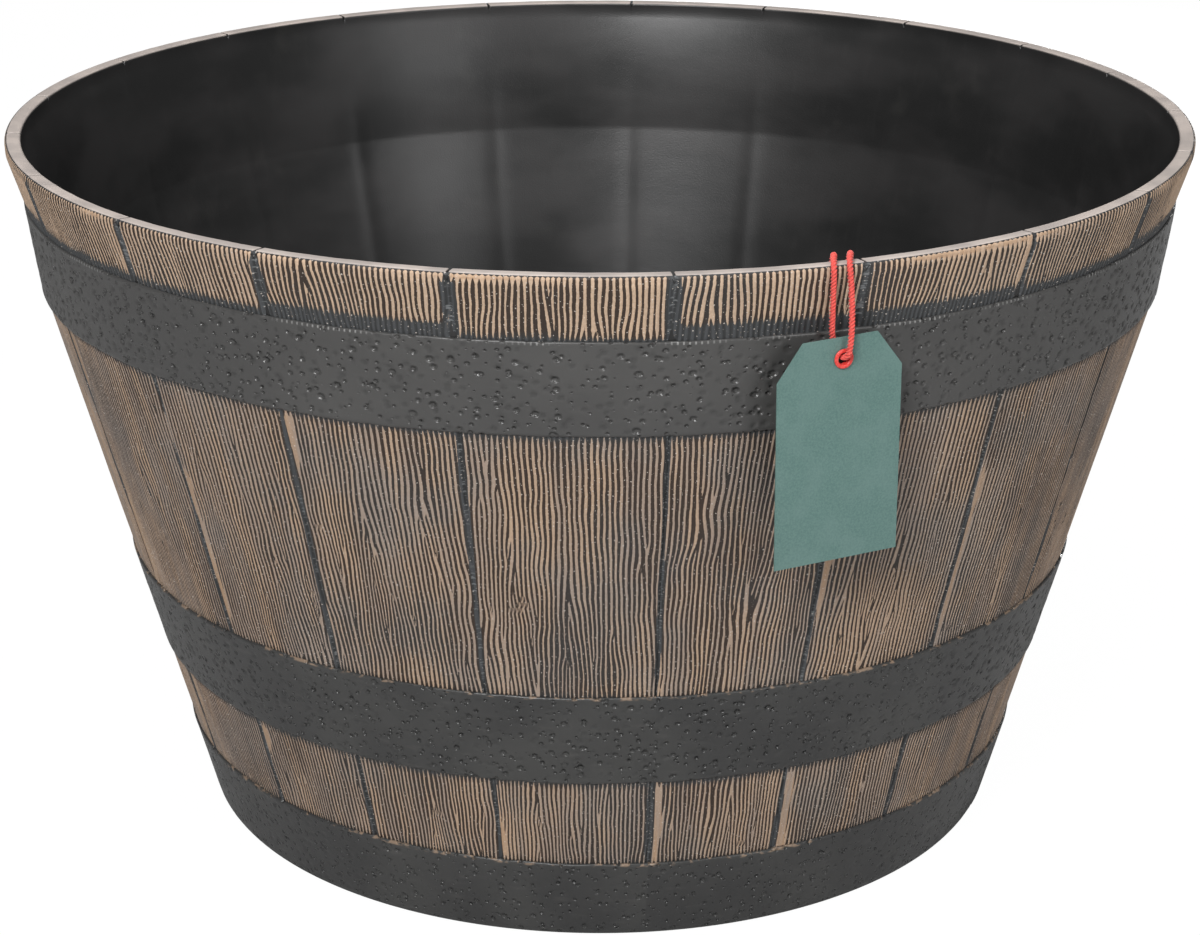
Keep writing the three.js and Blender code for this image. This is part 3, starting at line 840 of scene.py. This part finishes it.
plugs = [spun("plug_1", PLUG_SECTION, steps=64, closed=False)]
shade_flat_above(plugs[0], 50)
plugs += [new_object(f"plug_{number}", plugs[0].data.copy()) for number in (2, 3, 4)]
for number, (plug, drain_azimuth) in enumerate(zip(plugs, DRAIN_AZIMUTHS), 1):
    plug.data.transform(Matrix.Translation(around_tub(drain_azimuth, DRAIN_CIRCLE, FLOOR_TOP)))
    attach(plug, f"plug_{number}")
    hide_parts(f"drain_plug_{number}")
print("plugs:", [plug.name for plug in plugs])

# %% The card that hangs on the cord
tag_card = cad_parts["tag_card"]


# %% [markdown]
# ## Materials
#
# Shader maths is written as Python expressions. A `Wire` holds one output socket, and each operator
# used on it adds a Math node. `Bench` is one material with its principled shader. A colour is a wire,
# or red, green and blue as read on a screen, from 0 to 255.

# %% Wires and benches
def linear(colour):
    """The linear values that sockets take, of a colour as read on a screen."""
    return tuple(((c / 255 + 0.055) / 1.055) ** 2.4 for c in colour)


class Wire:
    def __init__(self, bench, socket):
        self.bench, self.socket = bench, socket

    def math(self, operation, *values):
        return self.bench.node("ShaderNodeMath", {"operation": operation}, dict(enumerate(values)))

    def __add__(self, other):
        return self.math("ADD", self, other)

    def __sub__(self, other):
        return self.math("SUBTRACT", self, other)

    def __mul__(self, other):
        return self.math("MULTIPLY", self, other)

    def __radd__(self, other):
        return self.math("ADD", other, self)

    def __rsub__(self, other):
        return self.math("SUBTRACT", other, self)

    def __rmul__(self, other):
        return self.math("MULTIPLY", other, self)

    def above(self, low, high):
        """0 below low, 1 above high, smooth between."""
        sockets = {"Value": self, "From Min": low, "From Max": high}
        return self.bench.node("ShaderNodeMapRange", {"interpolation_type": "SMOOTHSTEP"}, sockets)


class Bench:
    def __init__(self, name, **values):
        self.material = bpy.data.materials.new(name)
        self.material.use_nodes = True
        self.tree = self.material.node_tree
        self.shader = self.tree.nodes["Principled BSDF"]
        for socket, value in values.items():
            self.put(self.shader.inputs[socket.replace("_", " ")], value)

    def put(self, socket, value):
        if isinstance(value, Wire):
            self.tree.links.new(value.socket, socket)
        else:
            socket.default_value = value

    def node(self, kind, settings, inputs, output=0):
        node = self.tree.nodes.new(kind)
        for key, value in settings.items():
            setattr(node, key, value)
        for key, value in inputs.items():
            self.put(node.inputs[key], value)
        return Wire(self, node.outputs[output])

    def uv(self, name):
        return self.node("ShaderNodeUVMap", {"uv_map": name}, {})

    def spot(self):
        """The place in the piece's own frame."""
        return self.node("ShaderNodeTexCoord", {}, {}, "Object")

    def number(self, name):
        return self.node("ShaderNodeAttribute", {"attribute_name": name}, {}, "Fac")

    def split(self, vector, axis):
        return self.node("ShaderNodeSeparateXYZ", {}, {0: vector}, axis)

    def scaled(self, vector, by):
        return self.node("ShaderNodeVectorMath", {"operation": "MULTIPLY"}, {0: vector, 1: by})

    def noise(self, vector, scale, detail, stretch=None, roughness=0.5, dimensions="3D"):
        """Soft noise. stretch multiplies the place first, so a small number draws the noise out."""
        sockets = {
            "Vector": self.scaled(vector, stretch) if stretch else vector,
            "Scale": scale, "Detail": detail, "Roughness": roughness,
        }
        return self.node("ShaderNodeTexNoise", {"noise_dimensions": dimensions}, sockets)

    def mix(self, factor, first, second):
        """A blend of two colours."""
        node = self.tree.nodes.new("ShaderNodeMix")
        node.data_type = "RGBA"
        self.put(node.inputs["Factor"], factor)
        for key, value in (("A", first), ("B", second)):
            socket = [s for s in node.inputs if s.name == key and s.type == "RGBA"][0]
            self.put(socket, value if isinstance(value, Wire) else (*linear(value), 1))
        return Wire(self, [s for s in node.outputs if s.type == "RGBA"][0])

    def layered(self, colour, *layers):
        """A colour under layers of others, each given as its share and its colour."""
        for share, over in layers:
            colour = self.mix(share, colour, over)
        return colour

    def finish(self, colour, roughness, relief, depth):
        """Sets the colour, the roughness and the bump, whose depth is in metres."""
        bump = {"Height": relief, "Distance": depth, "Strength": 1.0}
        self.put(self.shader.inputs["Base Color"], colour)
        self.put(self.shader.inputs["Roughness"], roughness)
        self.put(self.shader.inputs["Normal"], self.node("ShaderNodeBump", {}, bump, "Normal"))


# %% [markdown]
# ### Painted grain
#
# A dry brush leaves paint on the ridges alone. The cosine of the phase is 1 on a ridge and -1 in a
# groove, so the paint lies where it is above a level. The level rises where the cover mark is low:
# the ridges' paint narrows and then ends, as it does above the hoops and beside the joints. Fine
# noise makes the paint's edge ragged, and a slower noise, drawn out along the grain, makes some
# ridges greyer and some more orange.

# %% Staves
painted = Bench("painted_grain", IOR=1.47)
place = painted.uv("place")
rise = painted.split(place, "Y")
turns = painted.split(painted.uv("grain"), "X") * (2 * math.pi)
ridge = turns.math("COSINE", turns)
cover = painted.number("cover")
fine = painted.noise(place, 1500, 2, (1, 0.55, 1))
grit = painted.noise(place, 3800, 1, (1, 0.8, 1))
streak = painted.noise(place, 330, 2, (1, 0.06, 1))
slow_streak = painted.noise(place, 120, 2, (1, 0.10, 1))
patch = painted.noise(place, 26, 3)

level = 1.24 - 1.55 * cover + 1.15 * (streak - 0.5) + 0.8 * (fine - 0.5)
paint = (ridge - level).above(-0.10, 0.22) * (grit + cover * 0.25).above(0.26, 0.44)
ridge_tone = painted.layered(
    painted.mix(slow_streak.above(0.38, 0.66), (164, 146, 132), (187, 160, 136)),
    (patch.above(0.45, 0.70) * 0.55, (150, 142, 136)),
    (rise.above(0.266, 0.276) * 0.7, (208, 179, 152)),  # the lip is lighter
    (cover.above(1.2, 1.5) * streak.above(0.3, 0.6) * 0.7, (181, 146, 114)),  # flat edges are more orange
    (fine.above(0.30, 0.75) * 0.30, (138, 116, 99)),
)
groove_tone = painted.mix(patch.above(0.40, 0.62), (54, 41, 32), (50, 45, 42))
# painted light and shade: in bare resin the ridges are lighter and the grooves darker
resin_tone = painted.mix(ridge.above(-0.7, 0.7), (50, 51, 52), (70, 72, 74))
bare_tone = painted.mix(cover.above(0.15, 0.7), resin_tone, groove_tone)
ticks = painted.noise(place, 1000, 1, (0.22, 1, 1)).above(0.54, 0.64)
ticks = ticks * painted.noise(place, 60, 1).above(0.36, 0.55) * painted.number("joint").above(0.15, 0.6)
# painted highlights: small bright specks stand for glints
painted_glint_speck = painted.noise(place, 1300, 0).above(0.735, 0.78)
colour = painted.mix(paint, bare_tone, ridge_tone)
colour = painted.layered(colour, (ticks * 0.6, (136, 139, 140)), (painted_glint_speck * 0.7, (214, 205, 196)))
relief = paint * 0.6 + fine * 0.5 + grit * 0.35
painted.finish(colour, 0.52 + 0.22 * paint + 0.10 * (fine - 0.5), relief, 0.00022)
print("painted grain:", len(painted.tree.nodes), "nodes")

# %% Hoops
hammered = Bench("hammered_resin", IOR=1.47)
place = hammered.uv("place")
rise = hammered.split(place, "Y")
cloud = hammered.noise(place, 18, 3)
grain_fine = hammered.noise(place, 2600, 2)
scuff = hammered.noise(place, 240, 2, (0.25, 1, 1))
tone = hammered.layered(
    hammered.mix(cloud.above(0.35, 0.68), (55, 55, 55), (66, 66, 65)),
    (scuff.above(0.60, 0.74) * 0.2, (96, 94, 92)),
    # painted sheen: the top hoop is lighter, as light from above falls on it most
    (rise.above(0.2, 0.23) * (0.35 + 0.6 * cloud), (80, 79, 78)),  # the top hoop is lighter
    # painted shade: the deepest parts of the dents are darker
    ((hammered.number("dent") * -4).above(0.3, 1.4) * 0.25, (42, 42, 42)),
)

# Stray paint lies on the edges that a brush passes over. Each has a height and a reach, in metres.
stray_noise = hammered.noise(place, 420, 3, (0.5, 1, 1))
for edge, reach in ((0.0375, 0.0016), (0.1206, 0.0012), (0.0784, 0.0007)):
    from_edge = rise - (edge - 0.0004)
    near_edge = 1 - from_edge.math("ABSOLUTE", from_edge).above(reach * 0.3, reach)
    stray = near_edge * (stray_noise + cloud * 0.5).above(0.78, 0.90)
    tone = hammered.mix(stray * 0.75, tone, (150, 128, 108))


def dents_by_cell(scale, seldom):
    """Small round dents, 0 in a dent and 1 outside. The greater seldom is, the more cells have a small
    dent or none."""
    squeezed = hammered.scaled(place, (0.85, 1, 1))
    settings = {"voronoi_dimensions": "2D"}
    sockets = {"Vector": squeezed, "Scale": scale, "Randomness": 1.0}
    distance = hammered.node("ShaderNodeTexVoronoi", settings, sockets, "Distance")
    lot = hammered.split(hammered.node("ShaderNodeTexVoronoi", settings, sockets, "Color"), "X")
    return (distance + lot * seldom).above(0.08, 0.30)


# A row of small light dots, painted highlights that stand for glints on the grain's ridge ends, runs along
# the top hoop's upper edge.
EDGE_GLINT_COUNT = 714
around = hammered.split(place, "X") * (EDGE_GLINT_COUNT / MAP_RADIUS)
painted_edge_glint = around.math("COSINE", around).above(0.3, 0.9)
painted_edge_glint = painted_edge_glint * (1 - rise.above(0.2736, 0.2741)) * rise.above(0.2726, 0.2731)
tone = hammered.mix(painted_edge_glint * hammered.noise(place, 34, 2).above(0.45, 0.60) * 0.5, tone, (176, 176, 174))
marks = dents_by_cell(175, 0.22) * dents_by_cell(260, 0.34)
roughness = 0.34 + 0.28 * (cloud - 0.5) + 0.10 * (scuff - 0.5) - 0.16 * (1 - marks)
hammered.finish(tone, roughness, marks + grain_fine * 0.08, 0.0009)

# %% Rim, inside and underside
moulded = Bench("moulded_resin", IOR=1.47)
spot = moulded.spot()
cloud = moulded.noise(spot, 9, 3)
fine = moulded.noise(spot, 1700, 2)
drawn = moulded.noise(spot, 260, 2, (1, 1, 0.06))
dust = moulded.noise(spot, 46, 4)
haze = moulded.noise(spot, 13, 3, (1, 1, 2.2))
rim_mark = moulded.split(spot, "Z").above(0.2990, 0.2998)
# The rim top's light grey is partly the resin's own worn grey and partly a painted reflection of the white
# surroundings.
rim_grey_and_reflection = moulded.mix(dust.above(0.36, 0.62), (184, 174, 168), (206, 194, 186))
tone = moulded.layered(
    moulded.mix(haze.above(0.35, 0.65), (33, 33, 33), (47, 46, 46)),
    (drawn.above(0.56, 0.74) * 0.06, (66, 65, 64)),
    (dust.above(0.58, 0.78) * 0.10, (84, 82, 79)),
    (rim_mark * (1 - moulded.number("notch").above(0.05, 0.35)), rim_grey_and_reflection),
)
roughness = 0.36 + 0.20 * (cloud - 0.5) + 0.22 * (haze - 0.5) + 0.10 * rim_mark
moulded.finish(tone, roughness, fine + drawn * 0.3 + haze * 6, 0.00005)

# %% Card, cord, eyelet and rubber
card = Bench("tag_card_stock", IOR=1.45)
fibre = card.noise(card.spot(), 1400, 4, roughness=0.6)
mottle = card.noise(card.spot(), 90, 3)
tone = card.mix(fibre.above(0.3, 0.7), (86, 117, 112), (101, 131, 125))
tone = card.mix(mottle.above(0.4, 0.65) * 0.35, tone, (108, 136, 131))
card.finish(tone, 0.62 + 0.12 * (fibre - 0.5), fibre, 0.00005)

red_cord = Bench("red_cord", IOR=1.5, Sheen_Weight=0.25, Sheen_Roughness=0.4)
fibres = red_cord.noise(red_cord.uv("plies"), 2.2, 2, (26, 0.35, 1), dimensions="2D")
fuzz = red_cord.noise(red_cord.spot(), 2200, 2)
tone = red_cord.mix(fibres.above(0.3, 0.7), (224, 74, 67), (244, 100, 90))
tone = red_cord.mix(fuzz.above(0.5, 0.75) * 0.4, tone, (250, 130, 120))
red_cord.finish(tone, 0.7 + 0.15 * (fuzz - 0.5), fibres + fuzz * 0.5, 0.00012)

red_ring = Bench("red_eyelet", IOR=1.5)
worn = red_ring.noise(red_ring.spot(), 700, 3)
tone = red_ring.mix(worn.above(0.35, 0.7), (217, 62, 56), (232, 84, 77))
red_ring.finish(tone, 0.28 + 0.16 * (worn - 0.5), worn, 0.00004)

rubber = Bench("drain_rubber", IOR=1.5)
bloom = rubber.noise(rubber.spot(), 160, 4)
skin = rubber.noise(rubber.spot(), 1800, 2)
tone = rubber.mix(bloom.above(0.4, 0.7) * 0.7, (30, 30, 30), (58, 57, 56))
rubber.finish(tone, 0.66 + 0.2 * (bloom - 0.5), skin, 0.00008)

finishes = [(staves, painted), (hoops, hammered), ([tub_body], moulded), ([tag_card], card)]
finishes += [([tag_cord, cord_knot], red_cord), ([eyelet], red_ring), (plugs, rubber)]
for pieces, bench in finishes:
    for piece in pieces:
        if piece.material_slots:
            for slot in piece.material_slots:
                slot.material = bench.material
        else:
            piece.data.materials.append(bench.material)
print("finishes:", [bench.material.name for _, bench in finishes])


# %% [markdown]
# ## Floor and light
#
# The photograph is a studio shot on white. A pale floor keeps the tub's shadow. It and the world
# turn white only for the camera's own rays, so no extra light falls on the tub. A soft lamp from
# the upper left gives the hoops their sheen, and weaker ones fill the right and the inside. The top
# hoop's colour also holds a painted sheen. The lamp at the back stays below the rim, so that it
# doesn't shine on the inside.

# %% Floor and world
nothing_selected()
bpy.ops.mesh.primitive_plane_add(size=12, location=(0, 0, -0.0002))
floor = bpy.context.object
floor.name = "studio_floor"
at_origin(floor)
pale = Bench("studio_floor", Base_Color=(0.5, 0.5, 0.5, 1), Roughness=0.9)
rays = pale.node("ShaderNodeLightPath", {}, {}, "Is Camera Ray")
lift = pale.node("ShaderNodeEmission", {}, {"Color": (1, 1, 1, 1), "Strength": 1.04})
both = pale.tree.nodes.new("ShaderNodeMixShader")
pale.put(both.inputs[0], rays * 0.95)
pale.tree.links.new(pale.shader.outputs[0], both.inputs[1])
pale.tree.links.new(lift.socket, both.inputs[2])
pale.tree.links.new(both.outputs[0], pale.tree.nodes["Material Output"].inputs["Surface"])
floor.data.materials.append(pale.material)

world = bpy.data.worlds.new("studio")
world.use_nodes = True
bpy.context.scene.world = world
sky = world.node_tree
background = sky.nodes["Background"]
rays = sky.nodes.new("ShaderNodeLightPath")
strength = sky.nodes.new("ShaderNodeMapRange")
sky.links.new(rays.outputs["Is Camera Ray"], strength.inputs["Value"])
strength.inputs["To Min"].default_value = 0.14
strength.inputs["To Max"].default_value = 1.0
background.inputs["Color"].default_value = (1, 1, 1, 1)
sky.links.new(strength.outputs[0], background.inputs["Strength"])

# %% Lamps
def soft_lamp(name, place, aim, size, power):
    lamp = bpy.data.lights.new(name, "AREA")
    lamp.shape = "RECTANGLE"
    lamp.size, lamp.size_y = size
    lamp.energy = power
    holder = new_object(name, lamp)
    holder.location = place
    direction = np.array(aim) - np.array(place)
    pitch = math.atan2(math.hypot(direction[0], direction[1]), -direction[2])
    holder.rotation_euler = (pitch, 0, math.atan2(direction[1], direction[0]) - math.pi / 2)


soft_lamp("key", (-0.55, -1.75, 1.45), (0, 0, 0.15), (0.6, 0.6), 37)
soft_lamp("fill", (1.3, -1.5, 1.0), (0, 0, 0.15), (0.6, 0.8), 11)
soft_lamp("top", (0.0, -0.35, 1.9), (0, 0, 0.1), (1.2, 0.8), 11)
soft_lamp("back", (0.5, 1.8, 0.18), (0, 0, 0.15), (0.9, 0.2), 16)
bpy.context.scene.view_settings.view_transform = "Standard"
